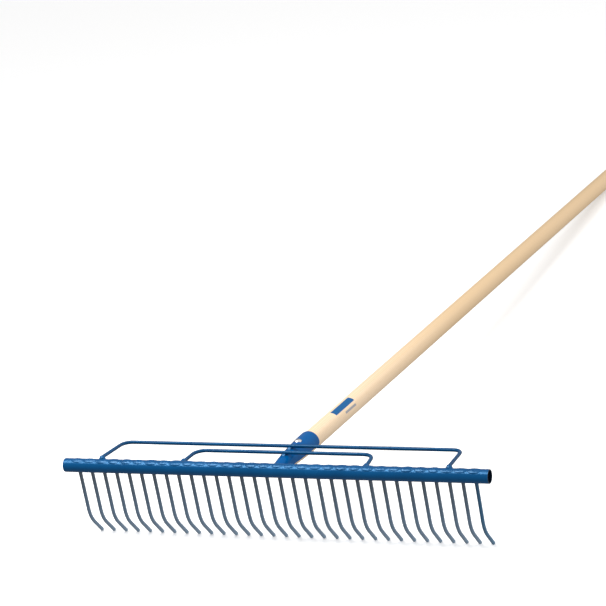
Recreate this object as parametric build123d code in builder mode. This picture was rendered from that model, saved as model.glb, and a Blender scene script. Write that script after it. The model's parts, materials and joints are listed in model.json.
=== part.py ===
from build123d import *
import os
from math import asin, atan2, cos, degrees, hypot, radians, sin, sqrt

# Hay rake: a steel tube head with a row of bent wire tines, two wire bows, a rolled socket and an ash handle.
#
# Millimetres. X runs along the head tube, Y from the tube towards the butt of the handle, Z is up. The rake
# lies as it is put down: the tine tips and the butt of the handle touch the floor, which is Z = 0, and the
# origin is the middle of the rake's footprint.
#
# Most of it is laid out in the side frame, whose origin is the middle of the head tube: s runs along the
# handle towards its butt, and q is square to s, on the side away from the tine tips.

# ---- head tube
tube_end_margin = 22.25  # last tine to the tube's end
tube_radius = 10.65
tube_wall = 1.5
tube_edge = 0.4

# ---- tines
tine_count = 32
tine_pitch = 20.5
tine_radius = 2.8
tine_lean = 10.3  # degrees from square to the handle, tips towards the butt
tine_straight = 75  # tube axis to the bend
tine_bend_radius = 49
tine_bend = 36.5  # degrees
tine_toe = 30  # straight length after the bend
tine_tip_round = 0.7
tine_hole_clearance = 0.1
tine_proud = 0.4  # height of a tine's head above the tube's crown

# ---- weld domes over the tines' heads
dome_radius = 5
dome_height = 1.7  # above the tube's crown
dome_depth = 3.2  # crest to base

# ---- handle
handle_length = 1850
handle_radius = 15
handle_end_gap = 5.35  # tube to the handle's inner end
handle_drop = 6  # handle axis below the tube axis, along q
butt_round = 10

# ---- socket: a rolled sheet shell, open on the underside
socket_wall = 1.8
socket_run_in = 12  # sheet beyond the handle's inner end, before it is cut to fit the tube
socket_end = 150  # tube axis to the mouth
socket_wrap = 204  # degrees of the handle that the sheet covers
socket_foot_radius = 9  # outside radius at the handle's inner end
socket_clearance = 0.15  # between sheet and wood
socket_corner = 6  # at the two corners of the mouth

# ---- bows
bow_radius = 2.8
large_bow_inset = 62  # tube's end to the wire's end
large_bow_lean_in = 4.5  # wire's end to the corner, along X
large_bow_reach = 76  # tube axis to the straight stretch
large_bow_bend_radius = 16
large_bow_foot_angle = 74.5  # degrees round the tube, from s towards q
large_bow_gap = 1  # between wire and socket, filled by the weld
small_bow_half = 146.5  # middle of the rake to the wire's end
small_bow_lean_in = 4
small_bow_reach = 53
small_bow_bend_radius = 18
small_bow_foot_angle = 36.5
small_bow_gap = 0.4
small_bow_stand_off = 1.65  # tube surface to the middle of the wire's end

# ---- welds of the bows and the socket
foot_weld_spread = 3.7  # beyond the wire's radius, on the tube
foot_weld_cover = 0.5  # beyond the wire's radius, at the weld's top
foot_weld_sunk = 0.6  # top of the weld, below the wire's far side
crossing_weld_reach = 7  # along the handle, each way
crossing_weld_width = 4.5
crossing_weld_rise = 1  # above the wire's middle
weld_root = 1  # depth that a weld's blank starts below the surface it is cut to
socket_weld_height = 7.5  # at the socket's inner end, before it is cut to fit the tube
socket_weld_length = 3.85  # tube's surface to the end of the weld

# ---- screw
screw_place = 107  # tube axis to the screw
screw_head_radius = 6
screw_head_height = 2.8
screw_shank_radius = 2
screw_length = 22
screw_hole_clearance = 0.3
screw_head_seat = 0.1  # rim of the head below the lowest point it covers, before it is cut to fit the sheet

# ---- places that follow from the sizes above
row_half = (tine_count - 1) / 2 * tine_pitch
tube_half = row_half + tube_end_margin
tine_places = [i * tine_pitch - row_half for i in range(tine_count)]
handle_start = tube_radius + handle_end_gap
socket_start = handle_start - socket_run_in
socket_weld_toe = tube_radius + socket_weld_length
lean_angle = radians(tine_lean)
toe_angle = radians(tine_lean + tine_bend)
tip_s = tine_straight * sin(lean_angle) + tine_toe * sin(toe_angle)
tip_s += tine_bend_radius * (cos(lean_angle) - cos(toe_angle))
tip_q = -tine_straight * cos(lean_angle) - tine_toe * cos(toe_angle)
tip_q -= tine_bend_radius * (sin(toe_angle) - sin(lean_angle))
butt_s = handle_start + handle_length

# middles of the two round edges that lie on the floor: the tine tip's and the butt's
tip_flat = tine_radius - tine_tip_round
tip_edge_s = tip_s - tine_tip_round * sin(toe_angle) - tip_flat * cos(toe_angle)
tip_edge_q = tip_q + tine_tip_round * cos(toe_angle) - tip_flat * sin(toe_angle)
butt_flat = handle_radius - butt_round
butt_edge_s = butt_s - butt_round
butt_edge_q = -handle_drop - butt_flat
edge_run = butt_edge_s - tip_edge_s
edge_rise = butt_edge_q - tip_edge_q
rest_tilt = atan2(edge_rise, edge_run) + asin((tine_tip_round - butt_round) / hypot(edge_run, edge_rise))

tube_height = tip_edge_s * sin(rest_tilt) - tip_edge_q * cos(rest_tilt) + tine_tip_round
butt_reach = butt_edge_s * cos(rest_tilt) + (butt_edge_q + 2 * butt_flat) * sin(rest_tilt) + butt_round
tube_middle = Vector(0, (tube_radius - butt_reach) / 2, tube_height)
along_tube = Vector(1, 0, 0)
along_handle = Vector(0, cos(rest_tilt), -sin(rest_tilt))
off_handle = Vector(0, sin(rest_tilt), cos(rest_tilt))
tine_direction = along_handle * sin(lean_angle) - off_handle * cos(lean_angle)


def spot(x, s, q):
    """The point at x along the tube and (s, q) in the side frame."""
    return tube_middle + along_tube * x + along_handle * s + off_handle * q


def side_plane(x):
    """The side frame at x along the tube, facing along X."""
    return Plane(origin=spot(x, 0, 0), x_dir=along_handle, z_dir=along_tube)


def around_handle(angle):
    """A plane through the handle's axis, turned by angle degrees from +q towards -X."""
    facing = along_tube * cos(radians(angle)) + off_handle * sin(radians(angle))
    return Plane(origin=spot(0, 0, -handle_drop), x_dir=along_handle, z_dir=facing)


def socket_outside(s):
    """Outside radius of the socket: steep at the tube, and level where it meets the handle's full size."""
    mouth_radius = handle_radius + socket_clearance + socket_wall
    left = (socket_end - s) / (socket_end - handle_start)
    return mouth_radius - (mouth_radius - socket_foot_radius) * left**2


handle_axis = Axis(origin=spot(0, 0, -handle_drop), direction=along_handle)
large_bow_q = socket_outside(large_bow_reach) + large_bow_gap + bow_radius - handle_drop
small_bow_q = socket_outside(small_bow_reach) + small_bow_gap + bow_radius - handle_drop
large_bow_foot_half = tube_half - large_bow_inset
large_bow_foot_s = (tube_radius + bow_radius) * cos(radians(large_bow_foot_angle))
large_bow_foot_q = (tube_radius + bow_radius) * sin(radians(large_bow_foot_angle))
small_bow_foot_s = (tube_radius + small_bow_stand_off) * cos(radians(small_bow_foot_angle))
small_bow_foot_q = (tube_radius + small_bow_stand_off) * sin(radians(small_bow_foot_angle))

os.makedirs("parts", exist_ok=True)

# ---- head tube

with BuildPart() as tube_blank:
    with BuildSketch(side_plane(-tube_half)):
        Circle(tube_radius)
    extrude(amount=2 * tube_half)

with BuildPart() as head_tube:
    with BuildSketch(side_plane(-tube_half)):
        Circle(tube_radius)
        Circle(tube_radius - tube_wall, mode=Mode.SUBTRACT)
    extrude(amount=2 * tube_half)
    fillet(head_tube.edges().filter_by(GeomType.CIRCLE), radius=tube_edge)
    for x in tine_places:
        with BuildSketch(Plane(origin=spot(x, 0, 0), x_dir=along_tube, z_dir=tine_direction)):
            Circle(tine_radius + tine_hole_clearance)
        extrude(amount=tube_radius + tine_radius, both=True, mode=Mode.SUBTRACT)
head_tube.part.label = "head_tube"
export_step(head_tube.part, "parts/head_tube.step")

# ---- tines

head_reach = tube_radius + tine_proud
tine_parts = []
for number, x in enumerate(tine_places, start=1):
    with BuildPart() as tine:
        with BuildLine(side_plane(x)) as tine_path:
            shank = Line(
                (-head_reach * sin(lean_angle), head_reach * cos(lean_angle)),
                (tine_straight * sin(lean_angle), -tine_straight * cos(lean_angle)),
            )
            bend = JernArc(shank @ 1, shank % 1, tine_bend_radius, tine_bend)
            Line(bend @ 1, bend @ 1 + (bend % 1) * tine_toe)
        with BuildSketch(Plane(origin=shank @ 0, x_dir=along_tube, z_dir=tine_direction)):
            Circle(tine_radius)
        sweep(path=tine_path.line)
        tip_edge = tine.edges().filter_by(GeomType.CIRCLE).sort_by(Axis.Z)[0]
        fillet(tip_edge, radius=tine_tip_round)
    tine.part.label = f"tine_{number:02d}"
    export_step(tine.part, f"parts/tine_{number:02d}.step")
    tine_parts.append(tine.part)

dome_sphere = (dome_radius**2 + dome_depth**2) / (2 * dome_depth)
dome_half_angle = degrees(asin(dome_radius / dome_sphere))
with BuildPart() as tine_welds:
    for x, tine_part in zip(tine_places, tine_parts):
        crest = spot(x, 0, 0) - tine_direction * (tube_radius + dome_height)
        with BuildSketch(Plane(origin=crest, x_dir=along_tube, z_dir=tine_direction.cross(along_tube))):
            with BuildLine():
                dome = CenterArc((0, -dome_sphere), dome_sphere, 90 - dome_half_angle, dome_half_angle)
                Polyline(dome @ 0, (0, -dome_depth), (0, 0))
            make_face()
        revolve(axis=Axis(origin=crest, direction=tine_direction))
        add(tine_part, mode=Mode.SUBTRACT)
    add(tube_blank.part, mode=Mode.SUBTRACT)
tine_welds.part.label = "tine_welds"
export_step(tine_welds.part, "parts/tine_welds.step")

# ---- socket

screw_seat = socket_outside(screw_place) - handle_drop
screw_plane = Plane(origin=spot(0, screw_place, screw_seat - screw_length), x_dir=along_tube, z_dir=off_handle)

stations = [socket_start + (socket_end - socket_start) * i / 4 for i in range(5)]
with BuildPart() as handle_socket:
    with BuildSketch(around_handle(socket_wrap / 2)):
        with BuildLine():
            outer = Spline([(s, socket_outside(s)) for s in stations])
            inner = Spline([(s, socket_outside(s) - socket_wall) for s in stations])
            Line(outer @ 0, inner @ 0)
            Line(outer @ 1, inner @ 1)
        make_face()
    revolve(axis=handle_axis, revolution_arc=socket_wrap)
    mouth_corners = handle_socket.edges().filter_by(GeomType.LINE).sort_by(handle_axis)[-2:]
    fillet(mouth_corners, radius=socket_corner)
    with BuildSketch(screw_plane):
        Circle(screw_shank_radius + screw_hole_clearance)
    extrude(amount=screw_length + socket_wall, mode=Mode.SUBTRACT)
    add(tube_blank.part, mode=Mode.SUBTRACT)
handle_socket.part.label = "handle_socket"
export_step(handle_socket.part, "parts/handle_socket.step")

with BuildPart() as socket_weld:
    with BuildSketch(around_handle(socket_wrap / 2)):
        with BuildLine():
            Polyline(
                (socket_start, socket_outside(socket_start) - weld_root),
                (socket_start, socket_outside(socket_start) + socket_weld_height),
                (socket_weld_toe, socket_outside(socket_weld_toe)),
                (socket_weld_toe, socket_outside(socket_weld_toe) - weld_root),
                close=True,
            )
        make_face()
    revolve(axis=handle_axis, revolution_arc=socket_wrap)
    add(handle_socket.part, mode=Mode.SUBTRACT)
    add(tube_blank.part, mode=Mode.SUBTRACT)
socket_weld.part.label = "socket_weld"
export_step(socket_weld.part, "parts/socket_weld.step")

# ---- handle

sheet_space = socket_wall + socket_clearance
taper_stations = [handle_start + (socket_end - handle_start) * i / 4 for i in range(5)]
with BuildPart() as handle:
    with BuildSketch(around_handle(0)):
        with BuildLine():
            taper = Spline([(s, socket_outside(s) - sheet_space) for s in taper_stations])
            Polyline(taper @ 1, (butt_s, handle_radius), (butt_s, 0), (handle_start, 0), taper @ 0)
        make_face()
    revolve(axis=handle_axis)
    fillet(handle.edges().sort_by(handle_axis)[-1], radius=butt_round)
    with BuildSketch(screw_plane):
        Circle(screw_shank_radius)
    extrude(amount=screw_length, mode=Mode.SUBTRACT)
handle.part.label = "handle"
export_step(handle.part, "parts/handle.step")

# ---- screw

seat_radius = socket_outside(screw_place)
head_skirt = seat_radius - sqrt(seat_radius**2 - screw_head_radius**2) + screw_head_seat
head_sphere = (screw_head_radius**2 + screw_head_height**2) / (2 * screw_head_height)
head_half_angle = degrees(asin(screw_head_radius / head_sphere))
head_base = spot(0, screw_place, screw_seat - head_skirt)
with BuildPart() as handle_screw:
    with BuildSketch(Plane(origin=head_base, x_dir=along_tube, z_dir=-along_handle)):
        with BuildLine():
            head_middle = (0, head_skirt + screw_head_height - head_sphere)
            crown = CenterArc(head_middle, head_sphere, 90 - head_half_angle, head_half_angle)
            Polyline(crown @ 0, (screw_head_radius, 0), (0, 0), crown @ 1)
        make_face()
    revolve(axis=Axis(origin=head_base, direction=off_handle))
    add(handle_socket.part, mode=Mode.SUBTRACT)
    with BuildSketch(screw_plane):
        Circle(screw_shank_radius)
    extrude(amount=screw_length)
handle_screw.part.label = "handle_screw"
export_step(handle_screw.part, "parts/handle_screw.step")

# ---- bows

with BuildPart() as large_bow:
    with BuildLine() as large_bow_path:
        FilletPolyline(
            spot(-large_bow_foot_half, large_bow_foot_s, large_bow_foot_q),
            spot(large_bow_lean_in - large_bow_foot_half, large_bow_reach, large_bow_q),
            spot(large_bow_foot_half - large_bow_lean_in, large_bow_reach, large_bow_q),
            spot(large_bow_foot_half, large_bow_foot_s, large_bow_foot_q),
            radius=large_bow_bend_radius,
        )
    with BuildSketch(Plane(origin=large_bow_path.line @ 0, z_dir=large_bow_path.line % 0)):
        Circle(bow_radius)
    sweep(path=large_bow_path.line)
large_bow.part.label = "large_bow"
export_step(large_bow.part, "parts/large_bow.step")

with BuildPart() as small_bow:
    with BuildLine() as small_bow_path:
        FilletPolyline(
            spot(-small_bow_half, small_bow_foot_s, small_bow_foot_q),
            spot(small_bow_lean_in - small_bow_half, small_bow_reach, small_bow_q),
            spot(small_bow_half - small_bow_lean_in, small_bow_reach, small_bow_q),
            spot(small_bow_half, small_bow_foot_s, small_bow_foot_q),
            radius=small_bow_bend_radius,
        )
    with BuildSketch(Plane(origin=small_bow_path.line @ 0, z_dir=small_bow_path.line % 0)):
        Circle(bow_radius)
    sweep(path=small_bow_path.line)
small_bow.part.label = "small_bow"
export_step(small_bow.part, "parts/small_bow.step")

# ---- welds that hold the bows to the tube: a cone around each wire's end

foot_weld_base = bow_radius + foot_weld_spread
weld_base_height = sqrt(tube_radius**2 - foot_weld_base**2) - weld_root
weld_top_height = tube_radius + 2 * bow_radius - foot_weld_sunk
feet = [
    ("large_bow_weld_left", -large_bow_foot_half, large_bow_foot_s, large_bow_foot_q, large_bow),
    ("large_bow_weld_right", large_bow_foot_half, large_bow_foot_s, large_bow_foot_q, large_bow),
    ("small_bow_weld_left", -small_bow_half, small_bow_foot_s, small_bow_foot_q, small_bow),
    ("small_bow_weld_right", small_bow_half, small_bow_foot_s, small_bow_foot_q, small_bow),
]
for name, x, s, q, bow in feet:
    outward = (spot(x, s, q) - spot(x, 0, 0)).normalized()
    with BuildPart() as foot_weld:
        with BuildSketch(Plane(origin=spot(x, 0, 0) + outward * weld_base_height, x_dir=along_tube, z_dir=outward)):
            Circle(foot_weld_base)
        with BuildSketch(Plane(origin=spot(x, 0, 0) + outward * weld_top_height, x_dir=along_tube, z_dir=outward)):
            Circle(bow_radius + foot_weld_cover)
        loft()
        add(tube_blank.part, mode=Mode.SUBTRACT)
        add(bow.part, mode=Mode.SUBTRACT)
        add(tine_welds.part, mode=Mode.SUBTRACT)
        add(tine_parts, mode=Mode.SUBTRACT)
    foot_weld.part.label = name
    export_step(foot_weld.part, f"parts/{name}.step")

# ---- welds that hold the bows to the socket: a ridge under the wire, along the handle

crossings = [
    ("large_bow_socket_weld", large_bow_reach, large_bow_q, large_bow),
    ("small_bow_socket_weld", small_bow_reach, small_bow_q, small_bow),
]
for name, s, q, bow in crossings:
    near = s - crossing_weld_reach
    far = s + crossing_weld_reach
    with BuildPart() as crossing_weld:
        with BuildSketch(side_plane(-crossing_weld_width / 2)):
            with BuildLine():
                Polyline(
                    (near, socket_outside(near) - handle_drop),
                    (s, q + crossing_weld_rise),
                    (far, socket_outside(far) - handle_drop),
                    (far, socket_outside(far) - handle_drop - weld_root),
                    (near, socket_outside(near) - handle_drop - weld_root),
                    close=True,
                )
            make_face()
        extrude(amount=crossing_weld_width)
        add(handle_socket.part, mode=Mode.SUBTRACT)
        add(bow.part, mode=Mode.SUBTRACT)
    crossing_weld.part.label = name
    export_step(crossing_weld.part, f"parts/{name}.step")
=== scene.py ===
import json
import random
from math import atan2, cos, radians, sin

import bpy
from mathutils import Matrix, Vector


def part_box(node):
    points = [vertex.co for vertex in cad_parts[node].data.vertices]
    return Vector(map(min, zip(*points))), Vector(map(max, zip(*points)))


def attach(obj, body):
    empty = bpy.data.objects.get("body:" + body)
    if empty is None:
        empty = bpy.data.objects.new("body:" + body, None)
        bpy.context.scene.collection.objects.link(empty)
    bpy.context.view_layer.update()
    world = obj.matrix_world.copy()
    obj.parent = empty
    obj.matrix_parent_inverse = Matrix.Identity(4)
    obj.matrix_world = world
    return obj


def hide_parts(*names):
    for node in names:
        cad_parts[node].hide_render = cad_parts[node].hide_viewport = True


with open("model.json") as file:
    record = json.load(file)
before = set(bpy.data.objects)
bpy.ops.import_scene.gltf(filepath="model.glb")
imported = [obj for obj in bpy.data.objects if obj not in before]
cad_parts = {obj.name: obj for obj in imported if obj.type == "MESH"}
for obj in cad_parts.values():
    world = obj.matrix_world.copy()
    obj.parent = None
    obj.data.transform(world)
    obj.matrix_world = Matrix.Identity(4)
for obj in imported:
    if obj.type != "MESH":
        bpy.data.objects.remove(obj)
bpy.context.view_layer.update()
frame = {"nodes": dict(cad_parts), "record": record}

mm = 0.001

# The rake's own frame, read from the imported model. The origin is the tube's middle: s runs along the handle,
# q is square to it and x runs along the tube.
mounts = {mount["name"]: mount for mount in frame["record"]["mounts"]}
tubeMiddle = (Vector(mounts["tube_end_left"]["pos_m"]) + Vector(mounts["tube_end_right"]["pos_m"])) / 2
alongTube = Vector((1, 0, 0))
alongHandle = Vector(mounts["handle_shaft"]["axis"]).normalized()
offHandle = alongTube.cross(alongHandle)
tilt = atan2(-alongHandle.z, alongHandle.y)
tubeLow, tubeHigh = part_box("head_tube")
tubeRadius = (tubeHigh[2] - tubeLow[2]) / 2
boreRadius = mounts["tube_end_left"]["dims"]["r_mm"] * mm
handleDrop = (tubeMiddle - Vector(mounts["handle_shaft"]["pos_m"])).dot(offHandle)
tineNodes = sorted(name for name in frame["nodes"] if name.startswith("tine_") and name != "tine_welds")


def spot(x, s, q):
    return tubeMiddle + alongTube * x + alongHandle * s + offHandle * q


def selectOnly(*items):
    bpy.ops.object.select_all(action="DESELECT")
    for item in items:
        item.select_set(True)
    bpy.context.view_layer.objects.active = items[0]


def applyModifiers(item):
    selectOnly(item)
    for modifier in list(item.modifiers):
        bpy.ops.object.modifier_apply(modifier=modifier.name)


def linear(hexColour):
    channels = [int(hexColour[i:i + 2], 16) / 255 for i in (1, 3, 5)]
    return [c / 12.92 if c <= 0.04045 else ((c + 0.055) / 1.055) ** 2.4 for c in channels] + [1]


def addNode(tree, kind, inputs=None, stops=(), **settings):
    node = tree.nodes.new("ShaderNode" + kind)
    for name, value in settings.items():
        setattr(node, name, value)
    if stops:  # each stop of a colour ramp is a position with an sRGB hex colour or a grey level
        elements = node.color_ramp.elements
        while len(elements) < len(stops):
            elements.new(0.5)
        for element, (position, colour) in zip(elements, stops):
            element.position = position
            element.color = linear(colour) if isinstance(colour, str) else (colour, colour, colour, 1)
    for name, value in (inputs or {}).items():
        if isinstance(value, bpy.types.NodeSocket):
            tree.links.new(value, node.inputs[name])
        else:
            node.inputs[name].default_value = value
    return node


def newMaterial(name):
    material = bpy.data.materials.new(name)
    material.use_nodes = True
    tree = material.node_tree
    return material, tree, tree.nodes["Principled BSDF"]


def sideFrame(tree):
    # object coordinates turned and moved into the rake's own frame: x, s, q in metres
    place = addNode(tree, "TexCoord").outputs["Object"]
    origin = Vector((-tubeMiddle.dot(alongTube), -tubeMiddle.dot(alongHandle), -tubeMiddle.dot(offHandle)))
    turned = addNode(tree, "Mapping", {"Vector": place, "Rotation": (tilt, 0, 0), "Location": origin})
    return turned.outputs["Vector"]


def useMaterial(item, material):
    item.data.materials.clear()
    item.data.materials.append(material)


# Camera: a long lens from the right front, above the tube.
cameraSetup = {
    "azimuth": 23.673,  # degrees from straight in front, to the right
    "elevation": 18.252,
    "roll": -7.526,
    "distance": 4.608,  # metres to the tube's middle
    "right": 0.0460,  # metres that the tube's middle lies left of the view's centre
    "up": 0.2474,
    "lens": 185.4,
    "sensor": 36,
    "farthest": 200,
}


def addCamera():
    azimuth, elevation = radians(cameraSetup["azimuth"]), radians(cameraSetup["elevation"])
    back = Vector((sin(azimuth) * cos(elevation), -cos(azimuth) * cos(elevation), sin(elevation)))
    level = Vector((cos(azimuth), sin(azimuth), 0))
    upright = back.cross(level)
    roll = radians(cameraSetup["roll"])
    right = level * cos(roll) + upright * sin(roll)
    up = upright * cos(roll) - level * sin(roll)
    place = tubeMiddle + back * cameraSetup["distance"]
    place += right * cameraSetup["right"] + up * cameraSetup["up"]
    camera = bpy.data.objects.new("camera", bpy.data.cameras.new("camera"))
    camera.data.lens = cameraSetup["lens"]
    camera.data.sensor_width = cameraSetup["sensor"]
    camera.data.clip_end = cameraSetup["farthest"]
    camera.matrix_world = Matrix.Translation(place) @ Matrix((right, up, back)).transposed().to_4x4()
    bpy.context.scene.collection.objects.link(camera)
    bpy.context.scene.camera = camera
    print("camera placed")


# Floor and studio light.
studio = {
    "floorTones": ("#f7f7f7", "#fcfcfc"),
    "floorStops": (0.2, 0.8),  # levels of the grain at which each tone is full
    "floorGrain": 3 * mm,
    "floorHalf": 40,  # metres
    "floorRough": 0.9,
    "floorGloss": 0.1,
    "floorGlow": 0.30,  # keeps the paper near white where the rake shades it
    "skyLean": (0.85, 0, 0.5),  # towards the bright side of the room
    "skyLevels": ((0.0, 0.22), (0.6, 0.40), (0.8, 0.9), (1.0, 1.1)),  # brightness, from the dim side on
    "stripPower": 44,
    "stripLength": 1.3,  # along the tube
    "stripWidth": 1.2,
    "stripHeight": 1.9,
    "stripLean": (-0.38, -0.24, 0.92),  # from the tube towards the light
}


def addLight(name, place, target, power, length, width):
    light = bpy.data.lights.new(name, "AREA")
    light.shape = "RECTANGLE"
    light.size = length
    light.size_y = width
    light.energy = power
    item = bpy.data.objects.new(name, light)
    facing = (place - target).normalized()
    sideways = (alongTube - facing * alongTube.dot(facing)).normalized()
    turn = Matrix((sideways, facing.cross(sideways), facing)).transposed().to_4x4()
    item.matrix_world = Matrix.Translation(place) @ turn
    bpy.context.scene.collection.objects.link(item)


def addStudio():
    bpy.ops.object.select_all(action="DESELECT")
    bpy.ops.mesh.primitive_plane_add(size=2 * studio["floorHalf"], location=(0, 0, 0))
    floor = bpy.context.object
    floor.name = "studioFloor"
    material, tree, shader = newMaterial("mattWhitePaper")  # seamless backdrop paper: even, no gloss
    place = addNode(tree, "TexCoord").outputs["Object"]
    grain = addNode(tree, "TexNoise", {"Vector": place, "Scale": 1 / studio["floorGrain"]})
    dull, pale = studio["floorTones"]
    dullAt, paleAt = studio["floorStops"]
    tone = addNode(tree, "ValToRGB", {"Fac": grain.outputs["Fac"]}, stops=[(dullAt, dull), (paleAt, pale)])
    tree.links.new(tone.outputs["Color"], shader.inputs["Base Color"])
    shader.inputs["Roughness"].default_value = studio["floorRough"]
    shader.inputs["Specular IOR Level"].default_value = studio["floorGloss"]
    shader.inputs["Emission Color"].default_value = linear(pale)
    shader.inputs["Emission Strength"].default_value = studio["floorGlow"]
    useMaterial(floor, material)
    floor.visible_diffuse = False
    floor.visible_glossy = False
    floor.visible_shadow = False

    world = bpy.data.worlds.new("softStudio")
    bpy.context.scene.world = world
    world.use_nodes = True
    tree = world.node_tree
    direction = addNode(tree, "TexCoord").outputs["Generated"]
    brightSide = Vector(studio["skyLean"]).normalized()
    facing = addNode(tree, "VectorMath", {0: direction, 1: brightSide}, operation="DOT_PRODUCT")
    share = addNode(tree, "MapRange", {"Value": facing.outputs["Value"], "From Min": -1, "From Max": 1})
    tones = addNode(tree, "ValToRGB", {"Fac": share.outputs["Result"]}, stops=studio["skyLevels"])
    tree.links.new(tones.outputs["Color"], tree.nodes["Background"].inputs["Color"])

    lean = Vector(studio["stripLean"]).normalized()
    place = tubeMiddle + lean * studio["stripHeight"] / lean.z
    addLight("overheadStrip", place, tubeMiddle, studio["stripPower"], studio["stripLength"],
             studio["stripWidth"])

    view = bpy.context.scene.view_settings
    view.view_transform = "Standard"
    view.look = "None"
    print("studio lit")


# Enamel: sprayed gloss paint over steel. It gives an even colour, a light band along the top that the weld
# seam breaks up, and fine ripples.
enamels = {
    "tubeEnamel": {"deep": "#004577", "plain": "#004e84", "shine": "#7cc2f6",
                   "gloss": 1.0, "rough": 0.24, "peel": 0.05 * mm, "spatter": 0.40 * mm},
    "wireEnamel": {"deep": "#003c66", "plain": "#004a78", "shine": "#8ebce8",
                   "gloss": 0.55, "rough": 0.24, "peel": 0.04 * mm, "spatter": 0},
    "sheetEnamel": {"deep": "#00508f", "plain": "#00599a", "shine": "#4aa8f0",
                    "gloss": 0.12, "rough": 0.20, "peel": 0.03 * mm, "spatter": 0},
    "weldEnamel": {"deep": "#004576", "plain": "#005086", "shine": "#90caf8",
                   "gloss": 0.9, "rough": 0.26, "peel": 0.12 * mm, "spatter": 0.22 * mm},
}
enamelLook = {
    "patch": 45 * mm,  # size of the patches where the paint lies thicker
    "deepAt": 0.3,  # levels of the noise at which the coat is all deep and all plain
    "plainAt": 0.7,
    "peelSize": 2.2 * mm,  # ripples of the sprayed coat, drawn coarser than the real 1 mm so that they show
    "spatterSize": 1.5 * mm,  # grains of weld spatter under the paint, beside the row of welds
    "spatterFrom": 0.40,  # height on the tube, as a share of its radius, where spatter starts
    "spatterFull": 0.80,
    "roughSpread": 0.04,
    "paintedBoreShade": "#0a1626",  # near-black painted shade for the tube's bore and its cut ends
    "shadedEndDepth": 0.35 * mm,  # depth of the tube's cut ends that are painted in shade
}


def enamel(name):
    look = enamels[name]
    material, tree, shader = newMaterial(name)
    place = sideFrame(tree)
    patches = addNode(tree, "TexNoise", {"Vector": place, "Scale": 1 / enamelLook["patch"], "Detail": 3})
    deepAt, plainAt = enamelLook["deepAt"], enamelLook["plainAt"]
    colour = addNode(tree, "ValToRGB", {"Fac": patches.outputs["Fac"]},
                     stops=[(deepAt, look["deep"]), (plainAt, look["plain"])]).outputs["Color"]
    parts = addNode(tree, "SeparateXYZ", {"Vector": place})
    # painted shade: the tube's bore and its cut ends are coloured near black, for the shade inside the tube
    # and on its ends
    if name == "tubeEnamel":
        square = addNode(tree, "CombineXYZ", {"Y": parts.outputs["Y"], "Z": parts.outputs["Z"]})
        reach = addNode(tree, "VectorMath", {0: square.outputs["Vector"]}, operation="LENGTH")
        wallMiddle = (tubeRadius + boreRadius) / 2
        inside = addNode(tree, "Math", {0: reach.outputs["Value"], 1: wallMiddle}, operation="LESS_THAN")
        endFrom = tubeHigh[0] - enamelLook["shadedEndDepth"]
        outward = addNode(tree, "Math", {0: parts.outputs["X"]}, operation="ABSOLUTE")
        cut = addNode(tree, "Math", {0: outward.outputs[0], 1: endFrom}, operation="GREATER_THAN")
        dark = addNode(tree, "Math", {0: inside.outputs[0], 1: cut.outputs[0]}, operation="MAXIMUM")
        colour = addNode(tree, "MixRGB", {"Fac": dark.outputs[0], "Color1": colour,
                                          "Color2": linear(enamelLook["paintedBoreShade"])}).outputs["Color"]
    tree.links.new(colour, shader.inputs["Base Color"])
    spread = enamelLook["roughSpread"]
    wear = addNode(tree, "MapRange", {"Value": patches.outputs["Fac"],
                                      "From Min": deepAt, "From Max": plainAt,
                                      "To Min": look["rough"] - spread, "To Max": look["rough"] + spread})
    tree.links.new(wear.outputs["Result"], shader.inputs["Roughness"])
    shader.inputs["Specular IOR Level"].default_value = look["gloss"]
    shader.inputs["Specular Tint"].default_value = linear(look["shine"])
    peel = addNode(tree, "TexNoise", {"Vector": place, "Scale": 1 / enamelLook["peelSize"], "Detail": 2})
    ripples = addNode(tree, "Bump", {"Height": peel.outputs["Fac"], "Distance": look["peel"], "Strength": 1})
    normal = ripples.outputs["Normal"]
    if look["spatter"]:
        grains = addNode(tree, "TexNoise", {"Vector": place, "Scale": 1 / enamelLook["spatterSize"],
                                            "Detail": 4})
        near = addNode(tree, "MapRange", {"Value": parts.outputs["Z"],
                                          "From Min": enamelLook["spatterFrom"] * tubeRadius,
                                          "From Max": enamelLook["spatterFull"] * tubeRadius})
        held = addNode(tree, "Math", {0: grains.outputs["Fac"], 1: near.outputs["Result"]},
                       operation="MULTIPLY")
        rough = addNode(tree, "Bump", {"Height": held.outputs[0], "Distance": look["spatter"], "Strength": 1,
                                       "Normal": normal})
        normal = rough.outputs["Normal"]
    tree.links.new(normal, shader.inputs["Normal"])
    return material


# Tines: drawn spring steel with a thin grey-blue dip coat. It gives a dark, half matt wire with faint draw
# lines along it. Its colour runs from dark at the top to pale at the tip: painted light over the coat's own
# grey-blue.
tineSteel = {
    "top": "#5a6570",
    "middle": "#667c93",
    # painted highlight: the tips are coloured paler for the light that falls on them
    "tip": "#90a8c0",
    "endTop": "#335d7d",  # the last tine on the right carries more of the blue coat
    "endMiddle": "#3a688b",
    # this tip colour is painted paler in the same way: painted highlight
    "endLitTip": "#6a8fae",
    "metallic": 0.25,
    "rough": 0.42,
    "colourStops": (0.15, 0.6, 1.0),  # where top, middle and tip colour lie on the way down
    "mottle": 5 * mm,  # size of the mottles, and how far they shift the colour
    "mottleShare": 0.3,
    "lineWidth": 0.5 * mm,  # draw lines, far finer on the wire, drawn as coarse as they need to show
    "lineStretch": 0.03,
    "lineDepth": 0.03 * mm,
}


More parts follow.
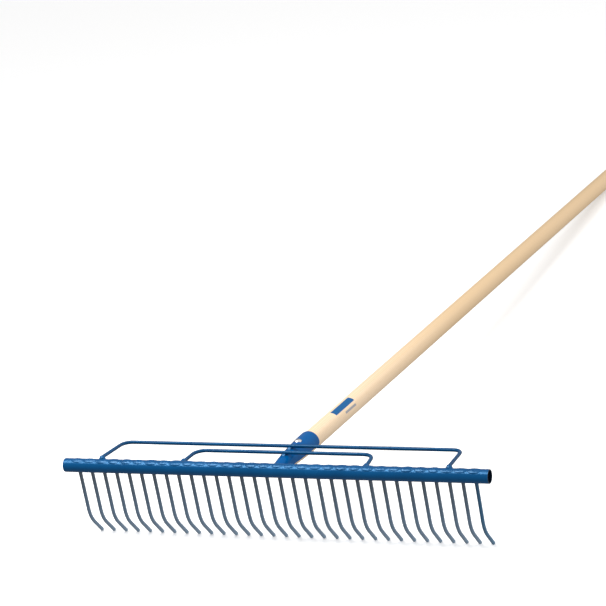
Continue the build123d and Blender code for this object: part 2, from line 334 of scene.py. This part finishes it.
def springSteel(name, top, middle, tip):
    material, tree, shader = newMaterial(name)
    place = sideFrame(tree)
    depth = addNode(tree, "SeparateXYZ", {"Vector": place}).outputs["Z"]
    low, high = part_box(tineNodes[0])
    tineReach = high[2] - low[2]
    share = addNode(tree, "MapRange", {"Value": depth, "From Min": -tubeRadius, "From Max": -tineReach})
    mottle = addNode(tree, "TexNoise", {"Vector": place, "Scale": 1 / tineSteel["mottle"], "Detail": 3})
    shift = addNode(tree, "Math", {0: mottle.outputs["Fac"], 1: tineSteel["mottleShare"],
                                   2: share.outputs["Result"]}, operation="MULTIPLY_ADD")
    # colour from top to tip: the coat's grey-blue, with painted light making it paler towards the tip
    colour = addNode(tree, "ValToRGB", {"Fac": shift.outputs[0]},
                     stops=list(zip(tineSteel["colourStops"], (top, middle, tip))))
    tree.links.new(colour.outputs["Color"], shader.inputs["Base Color"])
    shader.inputs["Metallic"].default_value = tineSteel["metallic"]
    shader.inputs["Roughness"].default_value = tineSteel["rough"]
    stretched = addNode(tree, "Mapping", {"Vector": place, "Scale": (1, 1, tineSteel["lineStretch"])})
    lines = addNode(tree, "TexNoise", {"Vector": stretched.outputs["Vector"],
                                       "Scale": 1 / tineSteel["lineWidth"]})
    bump = addNode(tree, "Bump", {"Height": lines.outputs["Fac"], "Distance": tineSteel["lineDepth"],
                                  "Strength": 1})
    tree.links.new(bump.outputs["Normal"], shader.inputs["Normal"])
    return material


# Handle: ash, turned and sanded. It gives a pale matt surface with long grain lines and pores as fine darker
# dashes.
ash = {
    "pale": "#f9e1c5",
    "plain": "#f2d5b0",
    "dark": "#e9c9a0",
    "pore": "#d9b488",
    "ringGap": 2.0 * mm,
    "heart": (0.021, -0.034),  # x, q from the handle's axis to the tree's centre
    "waveUnit": 0.314,  # a wave texture's own spacing at scale 1
    "grainStretch": 0.012,  # the rings' change along the handle, as a share of the change across it
    "ringWander": 1.2,
    "ringWanderScale": 0.6,
    "ringStops": (0.0, 0.6, 1.0),  # pale, plain and dark across one ring
    "poreWidth": 0.5 * mm,
    "poreLength": 9 * mm,
    "poreFrom": 0.6,  # level of the noise where a pore starts, and where it is full
    "poreTo": 0.75,
    "poreShare": 0.55,
    "poreDepth": 0.05 * mm,
    "cloud": 6 * mm,  # size of soft clouds of colour over the grain
    "cloudPaleAt": 0.3,
    "cloudPlainAt": 0.7,
    "cloudShare": 0.35,
    "gloss": 0.35,
    "rough": 0.55,
    "tan": "#e3c08f",
    "tanFrom": 0.35,  # s where the wood starts to turn tanner, and where it has done so
    "tanTo": 0.80,
    "tanShare": 0.6,
    "barBlue": "#005a94",
    "barFrom": 0.243,  # s of the printed bar's ends, and its angles round the handle from the top towards +X
    "barTo": 0.320,
    "barAngles": (-2, 42),
    "lineGrey": "#a2a1a6",
    "lineFrom": 0.272,
    "lineTo": 0.316,
    "lineAngles": (60, 74),
}


def between(tree, value, low, high):
    above = addNode(tree, "Math", {0: value, 1: low}, operation="GREATER_THAN")
    below = addNode(tree, "Math", {0: value, 1: high}, operation="LESS_THAN")
    return addNode(tree, "Math", {0: above.outputs[0], 1: below.outputs[0]}, operation="MULTIPLY").outputs[0]


def sandedAsh():
    material, tree, shader = newMaterial("sandedAsh")
    place = sideFrame(tree)
    heartX, heartQ = ash["heart"]
    heart = addNode(tree, "Mapping", {"Vector": place, "Location": (-heartX, 0, handleDrop - heartQ),
                                      "Scale": (1, ash["grainStretch"], 1)})
    rings = addNode(tree, "TexWave", {"Vector": heart.outputs["Vector"],
                                      "Scale": ash["waveUnit"] / ash["ringGap"],
                                      "Distortion": ash["ringWander"], "Detail": 2,
                                      "Detail Scale": ash["ringWanderScale"]},
                    wave_type="RINGS", rings_direction="Y", wave_profile="SAW")
    tones = (ash["pale"], ash["plain"], ash["dark"])
    wood = addNode(tree, "ValToRGB", {"Fac": rings.outputs["Fac"]}, stops=list(zip(ash["ringStops"], tones)))
    long = addNode(tree, "Mapping", {"Vector": place, "Scale": (1, ash["poreWidth"] / ash["poreLength"], 1)})
    pores = addNode(tree, "TexNoise", {"Vector": long.outputs["Vector"], "Scale": 1 / ash["poreWidth"],
                                       "Detail": 1})
    dashes = addNode(tree, "MapRange", {"Value": pores.outputs["Fac"], "From Min": ash["poreFrom"],
                                        "From Max": ash["poreTo"], "To Max": ash["poreShare"]})
    grain = addNode(tree, "MixRGB", {"Fac": dashes.outputs["Result"], "Color1": wood.outputs["Color"],
                                     "Color2": linear(ash["pore"])})
    cloud = addNode(tree, "TexNoise", {"Vector": heart.outputs["Vector"], "Scale": 1 / ash["cloud"],
                                       "Detail": 2})
    clouded = addNode(tree, "ValToRGB", {"Fac": cloud.outputs["Fac"]},
                      stops=[(ash["cloudPaleAt"], ash["pale"]), (ash["cloudPlainAt"], ash["plain"])])
    tone = addNode(tree, "MixRGB", {"Fac": ash["cloudShare"], "Color1": grain.outputs["Color"],
                                    "Color2": clouded.outputs["Color"]})
    parts = addNode(tree, "SeparateXYZ", {"Vector": place})
    far = addNode(tree, "MapRange", {"Value": parts.outputs["Y"], "From Min": ash["tanFrom"],
                                     "From Max": ash["tanTo"], "To Max": ash["tanShare"]})
    colour = addNode(tree, "MixRGB", {"Fac": far.outputs["Result"], "Color1": tone.outputs["Color"],
                                      "Color2": linear(ash["tan"])}).outputs["Color"]

    # the printed bar and line, by their place along and round the handle
    rise = addNode(tree, "Math", {0: parts.outputs["Z"], 1: handleDrop}, operation="ADD")
    angle = addNode(tree, "Math", {0: parts.outputs["X"], 1: rise.outputs[0]}, operation="ARCTAN2").outputs[0]
    for kind in ("bar", "line"):
        low, high = (radians(a) for a in ash[kind + "Angles"])
        along = between(tree, parts.outputs["Y"], ash[kind + "From"], ash[kind + "To"])
        across = between(tree, angle, low, high)
        mask = addNode(tree, "Math", {0: along, 1: across}, operation="MULTIPLY").outputs[0]
        ink = linear(ash["barBlue" if kind == "bar" else "lineGrey"])
        colour = addNode(tree, "MixRGB", {"Fac": mask, "Color1": colour, "Color2": ink}).outputs["Color"]
    tree.links.new(colour, shader.inputs["Base Color"])
    shader.inputs["Roughness"].default_value = ash["rough"]
    shader.inputs["Specular IOR Level"].default_value = ash["gloss"]
    bump = addNode(tree, "Bump", {"Height": dashes.outputs["Result"], "Distance": ash["poreDepth"],
                                  "Strength": 1}, invert=True)
    tree.links.new(bump.outputs["Normal"], shader.inputs["Normal"])
    return material


# Screw: bright zinc plate, barrel finished. It gives a pale, shiny metal with faint soft dents.
zincPlate = {
    "pale": "#f4f4f6",
    "dull": "#dcdde2",
    "rough": 0.24,
    "dentSize": 1.2 * mm,
    "dentDepth": 0.02 * mm,
    "dullAt": 0.3,  # levels of the noise at which the plate is all dull and all pale
    "paleAt": 0.7,
}


def brightZinc():
    material, tree, shader = newMaterial("brightZinc")
    place = sideFrame(tree)
    dents = addNode(tree, "TexNoise", {"Vector": place, "Scale": 1 / zincPlate["dentSize"], "Detail": 2})
    colour = addNode(tree, "ValToRGB", {"Fac": dents.outputs["Fac"]},
                     stops=[(zincPlate["dullAt"], zincPlate["dull"]),
                            (zincPlate["paleAt"], zincPlate["pale"])])
    tree.links.new(colour.outputs["Color"], shader.inputs["Base Color"])
    shader.inputs["Metallic"].default_value = 1
    shader.inputs["Roughness"].default_value = zincPlate["rough"]
    bump = addNode(tree, "Bump", {"Height": dents.outputs["Fac"], "Distance": zincPlate["dentDepth"],
                                  "Strength": 1})
    tree.links.new(bump.outputs["Normal"], shader.inputs["Normal"])
    return material


# Weld beads over the tines' heads: they run into each other as one rough seam along the tube.
beads = {
    "halfLength": 14 * mm,  # along the tube: each bead runs into the next
    "halfWidth": 6.5 * mm,
    "halfHeight": 3.2 * mm,
    "rise": 0.9 * mm,  # crest above the tube
    "forward": 7,  # degrees round the tube, from the tine's head towards the front
    "sunk": 0.5 * mm,  # underside, below the tube's surface
    "voxel": 0.55 * mm,
    "lump": 0.45 * mm,
    "lumpSize": 2.6 * mm,
    "level": 0.4,  # height of the lumps' noise that leaves the surface where it is
    "smoothing": 2,
    "segments": 24,
    "rings": 16,
    "hollowSides": 128,
    "headDepth": 1.2 * mm,  # part of a tine's top end that is taken for its head
    "uneven": 0.10,  # each bead's size varies by this share
    "seed": 7,
}


def roughen(item, look, lump, smoothing):
    # one even skin, smoothed, with lumps raised on it
    grid = item.modifiers.new("grid", "REMESH")
    grid.mode = "VOXEL"
    grid.voxel_size = look["voxel"]
    even = item.modifiers.new("even", "SMOOTH")
    even.iterations = smoothing
    rough = item.modifiers.new("lumps", "DISPLACE")
    rough.texture = bpy.data.textures.new(item.name + "Lumps", "CLOUDS")
    rough.texture.noise_scale = look["lumpSize"]
    rough.texture.noise_depth = 1
    rough.strength = lump
    rough.mid_level = look["level"]
    applyModifiers(item)


def headDirection():
    # the direction in which the tines' heads stand out of the tube
    points = [vertex.co - tubeMiddle for vertex in frame["nodes"][tineNodes[0]].data.vertices]
    highest = max(point.dot(offHandle) for point in points)
    ends = [point for point in points if point.dot(offHandle) > highest - beads["headDepth"]]
    middle = sum(ends, Vector()) / len(ends)
    middle.x = 0
    return middle.normalized()


def addBeads(material):
    bpy.ops.object.select_all(action="DESELECT")
    bpy.ops.mesh.primitive_uv_sphere_add(segments=beads["segments"], ring_count=beads["rings"], radius=1,
                                         location=(0, 0, 0))
    bead = bpy.context.object
    bpy.ops.object.mode_set(mode="EDIT")
    bpy.ops.transform.resize(value=(beads["halfLength"], beads["halfWidth"], beads["halfHeight"]))
    bpy.ops.transform.translate(value=(0, 0, beads["rise"] - beads["halfHeight"]))
    floorLevel = -(tubeRadius - (tubeRadius**2 - beads["halfWidth"]**2) ** 0.5) - beads["sunk"]
    bpy.ops.mesh.select_all(action="SELECT")
    bpy.ops.mesh.bisect(plane_co=(0, 0, floorLevel), plane_no=(0, 0, -1), clear_outer=True, use_fill=True)
    bpy.ops.object.mode_set(mode="OBJECT")
    smooth = bead.modifiers.new("smooth", "SUBSURF")
    smooth.levels = smooth.render_levels = 1
    applyModifiers(bead)

    facing = Matrix.Rotation(radians(beads["forward"]), 3, "X") @ headDirection()
    turn = Matrix((alongTube, facing.cross(alongTube), facing)).transposed().to_4x4()
    chance = random.Random(beads["seed"])
    copies = []
    for node in tineNodes:
        low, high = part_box(node)
        size = [1 + chance.uniform(-1, 1) * beads["uneven"] for _ in range(2)]
        copy = bpy.data.objects.new("bead", bead.data.copy())
        bpy.context.scene.collection.objects.link(copy)
        sized = Matrix.Diagonal((size[0], size[1], 1, 1))
        seat = spot((low[0] + high[0]) / 2, 0, 0) + facing * tubeRadius
        copy.data.transform(Matrix.Translation(seat) @ turn @ sized)
        copies.append(copy)
    bpy.data.objects.remove(bead)
    selectOnly(*copies)
    bpy.ops.object.join()
    row = bpy.context.object
    row.name = "tineWeldBeads"
    roughen(row, beads, beads["lump"], beads["smoothing"])

    # the underside is hollowed to lie in the tube's wall
    bpy.ops.object.select_all(action="DESELECT")
    bpy.ops.mesh.primitive_cylinder_add(vertices=beads["hollowSides"], radius=tubeRadius - beads["sunk"],
                                        depth=2 * tubeHigh[0], location=tubeMiddle,
                                        rotation=(0, radians(90), 0))
    hollow = bpy.context.object
    cut = row.modifiers.new("hollow", "BOOLEAN")
    cut.operation = "DIFFERENCE"
    cut.solver = "EXACT"
    cut.object = hollow
    applyModifiers(row)
    bpy.data.objects.remove(hollow)
    selectOnly(row)
    bpy.ops.object.shade_smooth()
    useMaterial(row, material)
    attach(row, "root")
    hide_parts("tine_welds")
    print("tine beads laid")


# Welds of the bows and the socket: the fitted solids, roughened into real beads.
runs = {
    "voxel": 0.32 * mm,
    "lumpSize": 1.9 * mm,
    "level": 0.5,
    "merge": 0.001 * mm,
    "pieces": {  # the solid each takes its form from, the height of its lumps, and how often it is smoothed
        "largeBowWeldLeft": ("large_bow_weld_left", 0.35 * mm, 9),
        "largeBowWeldRight": ("large_bow_weld_right", 0.35 * mm, 9),
        "smallBowWeldLeft": ("small_bow_weld_left", 0.35 * mm, 9),
        "smallBowWeldRight": ("small_bow_weld_right", 0.35 * mm, 9),
        "largeBowSocketWeld": ("large_bow_socket_weld", 0.4 * mm, 3),
        "smallBowSocketWeld": ("small_bow_socket_weld", 0.4 * mm, 3),
        "socketFootWeld": ("socket_weld", 0.15 * mm, 4),
    },
}


def addWeldRuns(material):
    for name, (node, lump, smoothing) in runs["pieces"].items():
        run = bpy.data.objects.new(name, frame["nodes"][node].data.copy())
        bpy.context.scene.collection.objects.link(run)
        selectOnly(run)
        bpy.ops.object.mode_set(mode="EDIT")
        bpy.ops.mesh.select_all(action="SELECT")
        bpy.ops.mesh.remove_doubles(threshold=runs["merge"])
        bpy.ops.object.mode_set(mode="OBJECT")
        roughen(run, runs, lump, smoothing)
        bpy.ops.object.shade_smooth()
        useMaterial(run, material)
        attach(run, "root")
        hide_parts(node)
    print("weld runs laid")


addCamera()
addStudio()

tubeEnamel = enamel("tubeEnamel")
wireEnamel = enamel("wireEnamel")
sheetEnamel = enamel("sheetEnamel")
weldEnamel = enamel("weldEnamel")
dippedSteel = springSteel("dippedSteel", tineSteel["top"], tineSteel["middle"], tineSteel["tip"])
blueDippedSteel = springSteel("blueDippedSteel", tineSteel["endTop"], tineSteel["endMiddle"],
                              tineSteel["endLitTip"])

useMaterial(frame["nodes"]["head_tube"], tubeEnamel)
useMaterial(frame["nodes"]["large_bow"], wireEnamel)
useMaterial(frame["nodes"]["small_bow"], wireEnamel)
useMaterial(frame["nodes"]["handle_socket"], sheetEnamel)
useMaterial(frame["nodes"]["handle"], sandedAsh())
useMaterial(frame["nodes"]["handle_screw"], brightZinc())
for name in tineNodes:
    useMaterial(frame["nodes"][name], blueDippedSteel if name == tineNodes[-1] else dippedSteel)
print("finishes given")

addBeads(weldEnamel)
addWeldRuns(weldEnamel)
